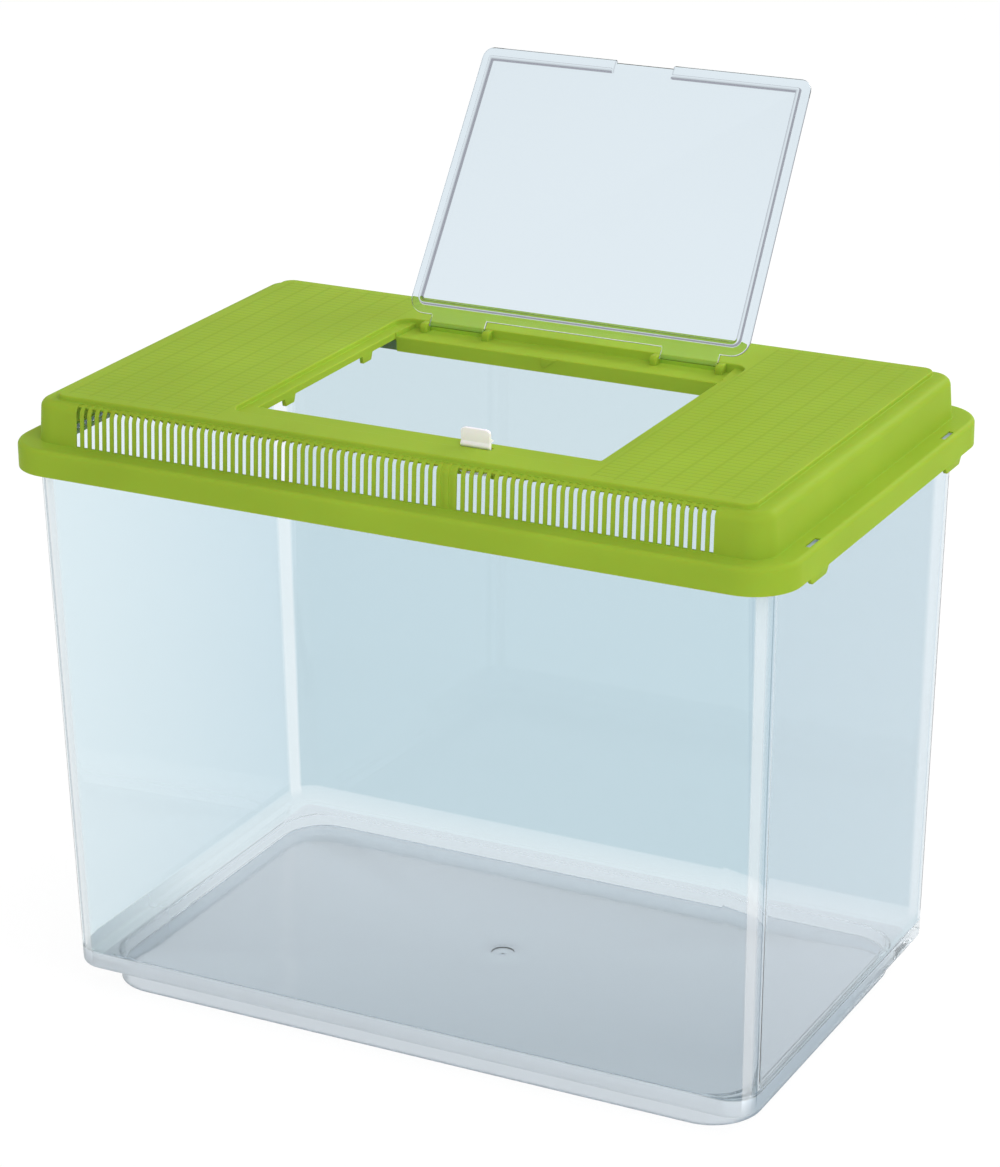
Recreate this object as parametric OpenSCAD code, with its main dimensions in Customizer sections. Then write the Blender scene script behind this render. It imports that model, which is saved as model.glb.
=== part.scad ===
/* [Overall size] */
// Width of the lid rim, along X
lid_w = 413; // [400:1:430]
// Depth of the lid rim, along Y
lid_d = 260; // [250:1:275]
// Height from the foot to the top of the lid
total_h = 320.5; // [300:0.5:340]

/* [Lid shell] */
// Wall thickness of the lid
lid_wall = 2.2; // [1.8:0.1:2.4]
// Plan radius of the rim's corners
rim_r = 23.5; // [22:0.5:26]
// Height of the lid from the rim's lower edge to its top
lid_h = 36.5; // [35:0.5:38]
// Height of the rim's skirt
skirt_h = 13.3; // [12:0.1:15]
// Outer rounding along the top of the skirt
skirt_edge_r = 2.5; // [2:0.1:3]
// Width of the ledge between the skirt and the crown
ledge_w = 11.3; // [10.5:0.1:12]
// Inward lean of the crown's wall
crown_lean = 1.1; // [0.8:0.1:1.5]
// Rounding of the crown's shoulder
shoulder_r = 4.6; // [4:0.1:5]
// Distance of the raised top panel from the crown's short sides
panel_inset_x = 9.2; // [8:0.2:12]
// Distance of the raised top panel from the crown's long sides
panel_inset_y = 5.7; // [5.3:0.1:7]
// Rise of the top panel over the crown
panel_rise = 2.4; // [2:0.1:2.6]
// Plan radius of the top panel's corners
panel_r = 6; // [4:1:8]

/* [Tank] */
// Wall thickness of the tank
tank_wall = 2.5; // [2:0.1:3]
// Reach of the tank's top flange past its short walls
flange_reach_x = 7.4; // [6:0.1:8]
// Reach of the tank's top flange past its long walls
flange_reach_y = 3.3; // [2.5:0.1:4]
// Thickness of the tank's top flange
flange_t = 3; // [2:0.1:4]
// Play between the flange's edge and the lid's skirt
flange_play = 1.1; // [0.8:0.1:1.5]
// Narrowing of the tank from flange to base, on each side
tank_draft = 6.6; // [4:0.1:8]
// Plan radius of the tank's upright corners
tank_corner_r = 18; // [15:1:20]
// Height of the base's overhanging edge above the table
base_h = 14; // [12:0.5:16]
// Inner fillet between the tank's walls and its floor
floor_fillet = 8; // [5:0.5:9]
// Step from the base's edge in to the foot, at the short sides
foot_step_x = 9.6; // [9:0.2:12]
// Step from the base's edge in to the foot, at the long sides
foot_step_y = 12.2; // [10:0.2:14]
// Plan radius of the foot's corners
foot_r = 26; // [20:1:30]
// Thickness of the foot's ring
foot_wall = 2.8; // [2:0.1:4]
// Height of the sunken floor above the table
floor_top = 10.5; // [9:0.5:11.5]
// Diameter of the gate mark in the middle of the floor
gate_d = 12; // [8:1:16]

/* [Vent slots] */
// Number of places in the row of slots
slot_count = 80; // [60:2:80]
// Distance from one slot to the next
slot_pitch = 4.245; // [4:0.005:4.3]
// Width of a slot
slot_w = 2.2; // [1.6:0.05:2.4]
// Height of the slots' lower ends above the ledge
slot_foot = 0.4; // [0.4:0.1:4]
// Slope of the shoulder where the slots' upper ends lie
slot_top_angle = 62; // [45:1:65]

/* [Door] */
// Place of the opening's middle along X
opening_x = 2.8; // [0:0.1:5]
// Offset of the door from the opening's middle
door_shift = 0.6; // [0:0.1:0.7]
// Width of the door at its hinged edge
door_w = 190.6; // [186:0.2:194]
// Width of the door at its free edge
door_tip_w = 185.4; // [184:0.2:186]
// Length of the door without its hinge tongues
door_len = 148.3; // [146:0.1:149]
// Thickness of the door
door_t = 2; // [1.6:0.1:2.2]
// Plan radius of the door's corners at the hinged edge
door_root_r = 9; // [8:0.5:10]
// Plan radius of the door's corners at the free edge
door_tip_r = 6; // [5:0.5:7]
// Height of the rib under the door
rib_h = 2; // [1.5:0.1:2.2]
// Width of the rib under the door
rib_w = 2.2; // [1.6:0.1:2.4]
// Distance of the rib's middle from the door's edges
rib_inset = 5.8; // [5.4:0.1:6.2]
// Further distance of the rib from the free edge
rib_tip_extra = 0.6; // [0:0.1:1]
// Width of the finger notch in the free edge
notch_w = 32; // [28:1:40]
// Depth of the finger notch
notch_d = 1.5; // [1:0.1:2]
// Angle through which the door opens, to its stop
door_open = 124.9; // [115:0.1:126]

/* [Opening] */
// Play between the rib and the opening's edge
rib_play = 1.1; // [0.9:0.1:1.3]
// Play between the door and the sides of its recess
door_play = 2.6; // [2:0.1:3]
// Depth of the recess under the top
recess_step = 2.4; // [2.3:0.1:2.7]
// Plan radius of the recess's corners
recess_r = 8; // [6:0.5:9]
// Plan radius of the opening's corners
opening_r = 2; // [1:0.5:3]
// Depth of the opening's side walls under the top
side_skirt = 5.9; // [5.6:0.1:8]
// Depth of the opening's back wall under the top
back_skirt = 12.4; // [10:0.1:14]
// Depth of the opening's front wall under the top
front_skirt = 9.5; // [8:0.1:11]
// Room in front of the catch for a thumb
thumb_room = 8.5; // [7:0.1:9]

/* [Hinge] */
// Place of the hinge axis along Y
hinge_y = 71.6; // [70:0.1:73]
// Depth of the hinge axis under the top
hinge_drop = 1.9; // [1.8:0.05:2]
// Width of each hinge tongue
tongue_w = 31.5; // [28:0.5:34]
// Distance of each tongue's middle from the door's middle
tongue_x = 65.2; // [60:0.2:68]
// Distance from the door's edge to the hinge axis
tongue_len = 7; // [6.5:0.1:7.5]
// Radius of the barrel along each tongue's end
barrel_r = 1.5; // [1.3:0.05:1.6]
// Radius of the hinge pins
pin_r = 0.9; // [0.7:0.05:0.95]
// Length of each hinge pin
pin_len = 3.4; // [2.5:0.1:4]

/* [Catch] */
// Place of the catch's middle along X
catch_x = 33.7; // [30:0.1:38]
// Width of the catch
catch_w = 15.5; // [13:0.5:16]
// Thickness of the catch
catch_t = 1.6; // [1.4:0.1:1.8]
// Height of the catch above the ledge
catch_h = 9.3; // [8:0.1:11]
// Rounding of the catch's upper corners
catch_r = 2; // [1:0.5:3]
// Depth of the catch's pivot under the ledge
catch_drop = 12.1; // [11.5:0.1:13]
// Swing of the catch from free to locked
catch_swing = 4.9; // [4.5:0.1:5.5]
// Reach of the catch's nose
nose_reach = 2.5; // [2:0.1:2.6]
// Radius of the catch's pivot pins
catch_pin_r = 1; // [0.8:0.05:1.1]
// Thickness of the hangers that carry the catch
hanger_t = 2; // [1.6:0.1:2.4]

/* [Snap clips] */
// Length of each clip along the rim
clip_len = 22; // [18:1:26]
// Drop of each clip under the rim
clip_drop = 3.5; // [2.5:0.1:4]
// Place of the front clips along Y
clip_front_y = -85.5; // [-88:0.5:-80]
// Place of the back clips along Y
clip_back_y = 82.5; // [78:0.5:86]
// Length of the moulding hole over each clip
hole_len = 12.5; // [10:0.5:15]
// Width of the moulding hole over each clip
hole_w = 3; // [2:0.2:3.6]

/* [Hidden] */
$fn = 64;

// smallest gap between pieces that move past each other
gap = 0.3;
// radial play of a pin in its bore
pin_play = 0.06;
// gap between the open door and the edge that it leans back to
stop_gap = 0.35;
// overlap that lets a cut run clean through
eps = 1;
// thickness of the slices that a hull joins, and facets of their corners
leaf = 0.01;
leaf_fn = 32;

// corner centres that the rim, the ledge and the crown share
core_x = lid_w / 2 - rim_r;
core_y = lid_d / 2 - rim_r;

// heights and profile distances of the lid
rim_z = total_h - lid_h;
ledge_z = rim_z + skirt_h;
under_ledge_z = ledge_z - lid_wall;
crown_z = total_h - panel_rise;
crown_foot_r = rim_r - ledge_w;
crown_top_r = crown_foot_r - crown_lean;
panel_x = core_x + crown_top_r - panel_inset_x;
panel_y = core_y + crown_top_r - panel_inset_y;

// the door lies over its seat and turns about the hinge axis
seat_z = total_h - recess_step;
hinge_z = total_h - hinge_drop;
door_x = opening_x + door_shift;
door_lift = seat_z + gap + door_t / 2 - hinge_z;
door_root_y = hinge_y - tongue_len;
door_tip_y = door_root_y - door_len;
rib_tip_inset = rib_inset + rib_tip_extra;
lean = door_open - 90;

// the catch stands in front of the door's free edge
nose_gap = 0.45;
catch_y = door_tip_y - nose_gap - nose_reach - catch_t / 2;
pivot_z = seat_z - catch_drop;
// underside of the nose, clear over the closed door when it has swung in
nose_lift = 0.7;
nose_low = catch_drop + gap + door_t + nose_lift;
nose_thick = 1.8;
lip_reach = 0.8;
lip_h = 2.4;
catch_foot = 1.4;
hanger_r = 2.4;

// opening, recess and the deeper shelf that takes the hinged edge's rib
shelf_lap = 0.5;
opening_x0 = opening_x - door_w / 2 + rib_inset - rib_w / 2 - rib_play;
opening_x1 = opening_x + door_w / 2 - rib_inset + rib_w / 2 + rib_play;
opening_y0 = door_tip_y + rib_tip_inset - rib_w / 2 - rib_play;
opening_y1 = door_root_y - rib_inset - rib_w / 2 - shelf_lap;
recess_x0 = opening_x - door_w / 2 - door_play;
recess_x1 = opening_x + door_w / 2 + door_play;
recess_y0 = catch_y - thumb_room;
recess_y1 = hinge_y + (door_lift + door_t / 2 + stop_gap + hinge_drop * sin(lean)) / cos(lean);
shelf_z = seat_z - rib_h - gap;

// flange and tank, inside the lid's skirt
flange_z = under_ledge_z - gap;
flange_r = rim_r - lid_wall - flange_play;
tank_x = core_x + flange_r - flange_reach_x;
tank_y = core_y + flange_r - flange_reach_y;
base_x = tank_x - tank_draft;
base_y = tank_y - tank_draft;
base_r_step = 3;
base_r = tank_corner_r - base_r_step;
base_edge = 2.4;
base_edge_mid = 0.8;
fillet_steps = 3;
floor_z = base_h + tank_wall;
foot_x = base_x - foot_step_x;
foot_y = base_y - foot_step_y;

// facets of the profile's arcs, and room that the row of slots leaves beside the catch
arc_steps = 8;
slot_room = 3.2;

// small forms: hinge lugs, gate mark, clips, hooks under the opening's sides, gusset on its back wall
lug_wall = 1.2;
gate_depth = 0.4;
clip_slant = 3;
hole_r = 1;
rib_end_r = 0.55;
hook_len = 11;
hook_slant = 1;
hook_end = 2;
hook_h = 4;
hook_front = 25;
hook_back = 34.5;
gusset_w = 8.5;
gusset_h = 4.5;
gusset_t = 0.8;
gusset_foot = 2;

// rectangle of half sizes hx and hy with rounded corners
module rounded(hx, hy, r) {
    square([2 * (hx - r), 2 * hy], center = true);
    square([2 * hx, 2 * (hy - r)], center = true);
    for (sx = [-1, 1], sy = [-1, 1])
        translate([sx * (hx - r), sy * (hy - r)])
            circle(r);
}

module slab(hx, hy, r, z0, z1) {
    translate([0, 0, z0])
        linear_extrude(z1 - z0)
            rounded(hx, hy, r);
}

module slab_between(x0, x1, y0, y1, r, z0, z1) {
    translate([(x0 + x1) / 2, (y0 + y1) / 2, 0])
        slab((x1 - x0) / 2, (y1 - y0) / 2, r, z0, z1);
}

module block(x0, x1, y0, y1, z0, z1) {
    translate([min(x0, x1), y0, z0])
        cube([abs(x1 - x0), y1 - y0, z1 - z0]);
}

module slice(hx, hy, r, z) {
    slab(hx, hy, r, z, z + leaf, $fn = leaf_fn);
}

// cylinder of length len along X, centred on its own middle
module rod(r, len) {
    rotate([0, 90, 0])
        cylinder(r = r, h = len, center = true);
}

// profile in the YZ plane, drawn out to length len along X
module along_x(len) {
    rotate([90, 0, 90])
        linear_extrude(len, center = true)
            children();
}

// points of an arc from angle a0 to a1
function arc(cx, cz, r, a0, a1, steps) = [
    for (i = [0 : steps])
        [cx + r * cos(a0 + (a1 - a0) * i / steps), cz + r * sin(a0 + (a1 - a0) * i / steps)]
];

// profile swept around the rounded rectangle of the corner centres
module around_lid() {
    for (sx = [0, 1], sy = [0, 1])
        mirror([sx, 0, 0])
            mirror([0, sy, 0])
                translate([core_x, core_y, 0])
                    rotate_extrude(angle = 90)
                        children();
    for (side = [0, 180])
        rotate(side) {
            translate([core_x, core_y, 0])
                rotate([90, 0, 0])
                    linear_extrude(2 * core_y)
                        children();
            translate([-core_x, core_y, 0])
                rotate([90, 0, 90])
                    linear_extrude(2 * core_x)
                        children();
        }
}

module lid_outside() {
    around_lid()
        polygon(concat(
            [[0, rim_z], [rim_r, rim_z]],
            arc(rim_r - skirt_edge_r, ledge_z - skirt_edge_r, skirt_edge_r, 0, 90, arc_steps),
            [[crown_foot_r, ledge_z]],
            arc(crown_top_r - shoulder_r, crown_z - shoulder_r, shoulder_r, 0, 90, arc_steps),
            [[0, crown_z]]));
    block(-core_x, core_x, -core_y, core_y, rim_z, crown_z);
    slab(panel_x, panel_y, panel_r, crown_z - eps, total_h);
}

module lid_hollow() {
    t = lid_wall;
    around_lid()
        polygon(concat(
            [[0, rim_z - eps], [rim_r - t, rim_z - eps], [rim_r - t, under_ledge_z],
                [crown_foot_r - t, under_ledge_z]],
            arc(crown_top_r - shoulder_r, crown_z - shoulder_r, shoulder_r - t, 0, 90, arc_steps),
            [[0, crown_z - t]]));
    block(-core_x, core_x, -core_y, core_y, rim_z - eps, crown_z - t);
    slab(panel_x - t, panel_y - t, panel_r - t, crown_z - t - eps, total_h - t);
}

// recess around the door, with the shelf for the hinged edge; grow adds its shell
module recess(grow) {
    top = grow > 0 ? total_h - eps : total_h + eps;
    slab_between(recess_x0 - grow, recess_x1 + grow, recess_y0 - grow, recess_y1 + grow,
        recess_r + grow, seat_z - grow, top);
    slab_between(opening_x0 - grow, opening_x1 + grow, opening_y1 - recess_r - grow, recess_y1 + grow,
        opening_r + grow, shelf_z - grow, top);
}

// walls that hang around the opening
module opening_walls() {
    t = lid_wall;
    top = shelf_z - t / 2;
    slab_between(opening_x0 - t, opening_x1 + t, opening_y0 - t, opening_y1 + t, opening_r + t,
        total_h - side_skirt, seat_z - t / 2);
    block(opening_x0, opening_x1, opening_y1, opening_y1 + t, total_h - back_skirt, top);
    block(opening_x0, opening_x1, opening_y0 - t, opening_y0, total_h - front_skirt, top);
}

module opening_cut() {
    slab_between(opening_x0, opening_x1, opening_y0, opening_y1, opening_r, rim_z, total_h + eps);
}

// slots through the front wall; the two places beside the catch stay closed
module slots() {
    first = -slot_pitch * (slot_count - 1) / 2;
    upper_end = core_y + crown_top_r - shoulder_r + shoulder_r * cos(slot_top_angle);
    for (i = [0 : slot_count - 1]) {
        x = first + i * slot_pitch;
        if (abs(x - catch_x) > slot_room)
            block(x - slot_w / 2, x + slot_w / 2, -lid_d / 2, -upper_end, ledge_z + slot_foot, total_h);
    }
}

// lugs on the shelf, one at each side of each tongue
module hinge_lugs() {
    inner = tongue_w / 2 + gap;
    outer = inner + pin_len + gap;
    for (m = [-1, 1], s = [-1, 1])
        translate([door_x + m * tongue_x, 0, 0])
            block(s * inner, s * outer, hinge_y - pin_r - lug_wall, recess_y1 + eps, shelf_z - eps, total_h);
}

module hinge_bores() {
    for (m = [-1, 1])
        translate([door_x + m * tongue_x, hinge_y, hinge_z])
            rod(pin_r + pin_play, tongue_w + 2 * (pin_len + 2 * gap + eps));
}

// hangers under the ledge, one at each side of the catch
module hangers() {
    for (s = [-1, 1])
        translate([catch_x + s * (catch_w / 2 + gap + hanger_t / 2), catch_y, 0]) {
            block(-hanger_t / 2, hanger_t / 2, -hanger_r, hanger_r, pivot_z, seat_z - lid_wall / 2);
            translate([0, 0, pivot_z])
                rod(hanger_r, hanger_t);
        }
}

module hanger_bores() {
    translate([catch_x, catch_y, pivot_z])
        rod(catch_pin_r + pin_play, catch_w + 2 * (gap + hanger_t + eps));
}

// slot in the ledge that lets the catch stand up and swing
module catch_slot() {
    side = catch_w / 2 + gap;
    front = catch_t / 2 + gap + leaf;
    back = catch_t / 2 + catch_drop * sin(catch_swing) + gap + leaf;
    translate([catch_x, catch_y, 0])
        block(-side, side, -front, back, seat_z - lid_wall - eps, seat_z + eps);
}

// spring tabs under the rim's short sides; their barbs stay just outside the flange
module clips() {
    barb = flange_play - gap;
    for (m = [0, 1], y = [clip_front_y, clip_back_y])
        mirror([m, 0, 0])
            translate([lid_w / 2 - lid_wall / 2, y, rim_z]) {
                along_x(lid_wall)
                    polygon([[-clip_len / 2, eps], [clip_slant - clip_len / 2, -clip_drop],
                        [clip_len / 2 - clip_slant, -clip_drop], [clip_len / 2, eps]]);
                translate([-barb / 2, 0, 0])
                    along_x(lid_wall + barb)
                        polygon([[-hole_len / 2, 2 * eps], [-hole_len / 2, -clip_drop],
                            [hole_len / 2, -clip_drop], [hole_len / 2, 2 * eps]]);
            }
}

module clip_holes() {
    for (m = [0, 1], y = [clip_front_y, clip_back_y])
        mirror([m, 0, 0])
            translate([lid_w / 2 - lid_wall - hole_w / 2, y, 0])
                slab(hole_w / 2, hole_len / 2, hole_r, under_ledge_z - eps, ledge_z + eps);
}

// small hooks under the opening's sides, and a gusset on its back wall
module edge_hooks() {
    t = lid_wall;
    edge = total_h - side_skirt;
    for (x = [opening_x0 - t, opening_x1], front = [0, 1])
        translate([x + t / 2, front == 1 ? opening_y0 + hook_front : opening_y1 - hook_back, 0])
            along_x(t)
                polygon([[0, edge + eps], [hook_slant, edge - hook_h],
                    [hook_len - hook_end, edge - hook_h], [hook_len, edge + eps]]);
    translate([door_x - gusset_w, opening_y1 - gusset_t, shelf_z])
        rotate([90, 0, 0])
            translate([0, 0, -gusset_t - eps])
                linear_extrude(gusset_t + eps)
                    polygon([[0, 0], [0, -gusset_h], [gusset_foot, -gusset_h], [gusset_w, 0]]);
}

module lid() {
    color("#97b835")
        difference() {
            union() {
                difference() {
                    union() {
                        difference() {
                            lid_outside();
                            difference() {
                                lid_hollow();
                                recess(lid_wall);
                            }
                        }
                        opening_walls();
                    }
                    recess(0);
                    slots();
                    opening_cut();
                }
                hinge_lugs();
                hangers();
                clips();
                edge_hooks();
            }
            hinge_bores();
            hanger_bores();
            catch_slot();
            clip_holes();
        }
}

// plan of the closed door from its hinge axis, with its edges moved in
module door_plan(inset, tip_inset) {
    w0 = door_w / 2 - inset;
    w1 = door_tip_w / 2 - inset;
    r0 = door_root_r - inset;
    r1 = max(door_tip_r - inset, rib_end_r);
    y0 = -tongue_len - inset;
    y1 = -tongue_len - door_len + tip_inset;
    polygon([[r0 - w0, y0], [w0 - r0, y0], [w0 - r0, y0 - r0], [w0, y0 - r0], [w1, y1 + r1],
        [w1 - r1, y1 + r1], [w1 - r1, y1], [r1 - w1, y1], [r1 - w1, y1 + r1], [-w1, y1 + r1],
        [-w0, y0 - r0], [r0 - w0, y0 - r0]]);
    for (s = [-1, 1]) {
        translate([s * (w0 - r0), y0 - r0])
            circle(r0);
        translate([s * (w1 - r1), y1 + r1])
            circle(r1);
    }
}

module notch(w, depth) {
    translate([-w / 2, -tongue_len - door_len - eps])
        square([w, depth + eps]);
}

// the door as it lies closed, from its hinge axis
module closed_door() {
    under = door_lift - door_t / 2;
    translate([0, 0, under])
        linear_extrude(door_t)
            difference() {
                door_plan(0, 0);
                notch(notch_w, notch_d);
            }
    translate([0, 0, under - rib_h])
        linear_extrude(rib_h + door_t / 2)
            difference() {
                door_plan(rib_inset - rib_w / 2, rib_tip_inset - rib_w / 2);
                door_plan(rib_inset + rib_w / 2, rib_tip_inset + rib_w / 2);
                notch(notch_w + rib_w, 2 * rib_tip_inset);
            }
    for (m = [-1, 1])
        translate([m * tongue_x, 0, 0]) {
            block(-tongue_w / 2, tongue_w / 2, -tongue_len - eps, 0, under, under + door_t);
            rod(barrel_r, tongue_w);
            rod(pin_r, tongue_w + 2 * (pin_len + gap));
        }
}

// the door leans back against its stop
module trapdoor() {
    color("#dceaf1")
        translate([door_x, hinge_y, hinge_z])
            rotate([-door_open, 0, 0])
                closed_door();
}

module catch() {
    half = catch_w / 2;
    top = catch_drop + catch_h;
    color("#ece8ec")
        translate([catch_x, catch_y, pivot_z]) {
            rotate([90, 0, 0])
                linear_extrude(catch_t, center = true) {
                    translate([-half, -catch_foot])
                        square([catch_w, top - catch_r + catch_foot]);
                    translate([catch_r - half, 0])
                        square([catch_w - 2 * catch_r, top]);
                    for (s = [-1, 1])
                        translate([s * (half - catch_r), top - catch_r])
                            circle(catch_r);
                }
            rod(catch_pin_r, catch_w + 2 * hanger_t);
            along_x(catch_w - catch_r)
                polygon([[0, nose_low], [catch_t / 2 + nose_reach, nose_low],
                    [catch_t / 2, nose_low + nose_thick], [0, nose_low + nose_thick]]);
            along_x(catch_w)
                polygon([[0, catch_drop + gap], [-catch_t / 2 - lip_reach, catch_drop + gap],
                    [-catch_t / 2 - lip_reach, catch_drop + lip_h / 2],
                    [-catch_t / 2, catch_drop + lip_h], [0, catch_drop + lip_h]]);
        }
}

module tank_outside() {
    mid = base_edge_mid;
    hull() {
        slice(base_x - base_edge, base_y - base_edge, base_r - base_edge, base_h);
        slice(base_x - mid, base_y - mid, base_r - mid, base_h + mid);
        slice(base_x, base_y, base_r, base_h + base_edge);
        slice(tank_x, tank_y, tank_corner_r, flange_z - leaf);
    }
}

// inside of the tank, with its fillet as an arc of slices
module tank_inside() {
    t = tank_wall;
    f = floor_fillet;
    hull() {
        for (i = [0 : fillet_steps]) {
            a = 90 * i / fillet_steps;
            in = t + f * (1 - sin(a));
            slice(base_x - in, base_y - in, max(base_r - in, t), floor_z + f * (1 - cos(a)));
        }
        slice(tank_x - t, tank_y - t, tank_corner_r - t, flange_z + eps);
    }
}

module tank() {
    inner_r = foot_r - foot_wall;
    color("#d5e4ea")
        difference() {
            union() {
                tank_outside();
                slab(foot_x, foot_y, foot_r, 0, base_h + eps);
                slab(core_x + flange_r, core_y + flange_r, flange_r, flange_z - flange_t, flange_z);
            }
            tank_inside();
            slab(foot_x - foot_wall, foot_y - foot_wall, inner_r, floor_top, floor_z + eps);
            slab(foot_x - foot_wall, foot_y - foot_wall, inner_r, -eps, floor_top - tank_wall);
            translate([0, 0, floor_top - gate_depth])
                cylinder(d = gate_d, h = eps);
        }
}

tank();
lid();
trapdoor();
catch();
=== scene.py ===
import bmesh
import bpy
import numpy as np
from mathutils import Matrix


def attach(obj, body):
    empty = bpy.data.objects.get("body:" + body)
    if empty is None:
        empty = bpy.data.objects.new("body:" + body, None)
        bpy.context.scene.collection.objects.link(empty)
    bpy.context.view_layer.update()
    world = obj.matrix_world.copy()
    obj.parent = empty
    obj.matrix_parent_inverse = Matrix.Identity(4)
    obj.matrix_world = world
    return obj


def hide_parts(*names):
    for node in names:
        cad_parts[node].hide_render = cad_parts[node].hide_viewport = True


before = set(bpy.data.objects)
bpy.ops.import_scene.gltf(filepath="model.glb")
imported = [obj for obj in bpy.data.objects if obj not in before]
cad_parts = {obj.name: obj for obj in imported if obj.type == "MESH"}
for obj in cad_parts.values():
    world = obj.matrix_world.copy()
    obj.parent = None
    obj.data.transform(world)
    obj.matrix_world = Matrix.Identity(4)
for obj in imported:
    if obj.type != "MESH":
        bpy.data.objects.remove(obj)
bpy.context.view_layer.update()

# all lengths in the dictionaries are millimetres, angles are degrees
mm = 0.001

# ---- camera ----
camera = {"azimuth": 27.53, "elevation": 20.81, "roll": -0.55,
          "place": (790.8, -1517.3, 865.0), "lens": 113.14, "sensor": 36.0, "clip": (0.05, 60)}


def aimedCamera(c):
    # back = (sin az cos el, -cos az cos el, sin el), right is level, up = back x right,
    # and right and up then turn together by roll
    az, el, roll = np.radians([c["azimuth"], c["elevation"], c["roll"]])
    back = np.array([np.sin(az) * np.cos(el), -np.cos(az) * np.cos(el), np.sin(el)])
    level = np.array([np.cos(az), np.sin(az), 0.0])
    upright = np.cross(back, level)
    right = level * np.cos(roll) + upright * np.sin(roll)
    up = upright * np.cos(roll) - level * np.sin(roll)
    data = bpy.data.cameras.new("camera")
    data.lens, data.sensor_width = c["lens"], c["sensor"]
    data.clip_start, data.clip_end = c["clip"]
    made = bpy.data.objects.new("camera", data)
    turn = np.eye(4)
    turn[:3] = np.stack([right, up, back, np.array(c["place"]) * mm], 1)
    made.matrix_world = Matrix(turn.tolist())
    bpy.context.scene.collection.objects.link(made)
    return made


bpy.context.scene.camera = aimedCamera(camera)
bpy.context.scene.view_settings.view_transform = "Standard"
print("camera placed")


# ---- small tools ----
def linear(code):
    # sRGB hex to linear: c / 12.92 up to 0.04045, above it ((c + 0.055) / 1.055) ^ 2.4
    s = np.array([int(code[i:i + 2], 16) for i in (1, 3, 5)]) / 255
    return (*np.where(s <= 0.04045, s / 12.92, ((s + 0.055) / 1.055) ** 2.4).tolist(), 1.0)


def node(tree, kind, inputs=None, **settings):
    # adds a node, sets its properties, and gives each named input a value or a link;
    # a node given as a value stands for its first output in use
    made = tree.nodes.new("ShaderNode" + kind)
    for key, value in settings.items():
        setattr(made, key, value)
    for key, value in (inputs or {}).items():
        if isinstance(value, bpy.types.Node):
            value = next(output for output in value.outputs if output.enabled)
        if isinstance(value, bpy.types.NodeSocket):
            tree.links.new(value, made.inputs[key])
        else:
            made.inputs[key].default_value = value
    return made


def newMaterial(name):
    # an empty material, its node tree, and Object coordinates for its patterns
    made = bpy.data.materials.new(name)
    made.use_nodes = True
    tree = made.node_tree
    tree.nodes.clear()
    return made, tree, node(tree, "TexCoord").outputs["Object"]


def arc(cx, cz, r, start, end, steps):
    # points cx + r cos t, cz + r sin t, for t from start to end
    t = np.radians(np.linspace(start, end, steps + 1))
    return np.stack([cx + r * np.cos(t), cz + r * np.sin(t)], 1)


def quarterTurn(*angles):
    # (1 - sin t, 1 - cos t) at each angle: what a rounding has left on one side, and has gained on the other
    t = np.radians(angles)
    return np.stack([1 - np.sin(t), 1 - np.cos(t)], 1)


def supported(rows, reach):
    # every long step between two rows gets one more row near each end, reach away,
    # so that smooth shading stays in the roundings and leaves the flats flat
    rows = np.asarray(rows, float)
    step = np.diff(rows, axis=0)
    length = np.maximum(np.abs(step[:, 0]), np.abs(step[:, 3]))
    share = (reach / np.maximum(length, 1e-6))[:, None]
    stack = np.stack([rows[:-1], rows[:-1] + step * share, rows[1:] - step * share], 1)
    keep = np.stack([length > -1, length > 5 * reach, length > 5 * reach], 1)
    return np.concatenate([stack[keep], rows[-1:]])


def ringPath(front, side, back, angles):
    # path round a rounded rectangle, anticlockwise from the front's left end:
    # a, b place the straight parts from -1 to 1, c, s are a corner's cosine and sine;
    # kind is 0 along the front, 1 along the sides and 2 along the back
    front, side, back = (np.asarray(v, float) for v in (front, side, back))
    turn = np.radians(angles)
    parts = []
    for ax, by, first, along, kind in ((0, -1, -90, front, 0), (1, 0, 0, side, 1),
                                       (0, 1, 90, back[::-1], 2), (-1, 0, 180, side[::-1], 1)):
        n, k = len(along), len(turn)
        flat = np.zeros((n, 5))
        flat[:, 0] = along if ax == 0 else ax
        flat[:, 1] = along if by == 0 else by
        flat[:, 2], flat[:, 3], flat[:, 4] = np.cos(np.radians(first)), np.sin(np.radians(first)), kind
        bend = np.zeros((k, 5))
        t = turn + np.radians(first)
        bend[:, 0] = 1 if first in (-90, 0) else -1
        bend[:, 1] = 1 if first in (0, 90) else -1
        bend[:, 2], bend[:, 3] = np.cos(t), np.sin(t)
        bend[:, 4] = np.where(bend[:, 1] > 0, 1, np.where(-np.sin(t) >= 0.7071, 0, 1))
        parts += [flat, bend]
    return np.concatenate(parts).T


def ringPoints(path, hx, hy, r, z, cx=0.0, cy=0.0):
    # x = cx + a (hx - r) + r c,  y = cy + b (hy - r) + r s, one row of points for each loop
    a, b, c, s = (v[None, :] for v in path[:4])
    hx, hy, r, cx, cy = (np.broadcast_to(np.asarray(v, float), np.shape(hx))[:, None]
                         for v in (hx, hy, r, cx, cy))
    x, y = cx + a * (hx - r) + r * c, cy + b * (hy - r) + r * s
    z = np.asarray(z, float)
    z = np.broadcast_to(z[:, None] if z.ndim == 1 else z, x.shape)
    return np.stack([x, y, z], -1)


def gridQuads(rows, columns):
    # quads between neighbouring loops; each loop closes on itself
    r = np.arange(rows - 1)[:, None] * columns
    c = np.arange(columns)[None, :]
    d = (c + 1) % columns
    return np.stack([r + c, r + d, r + d + columns, r + c + columns], -1)


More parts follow.
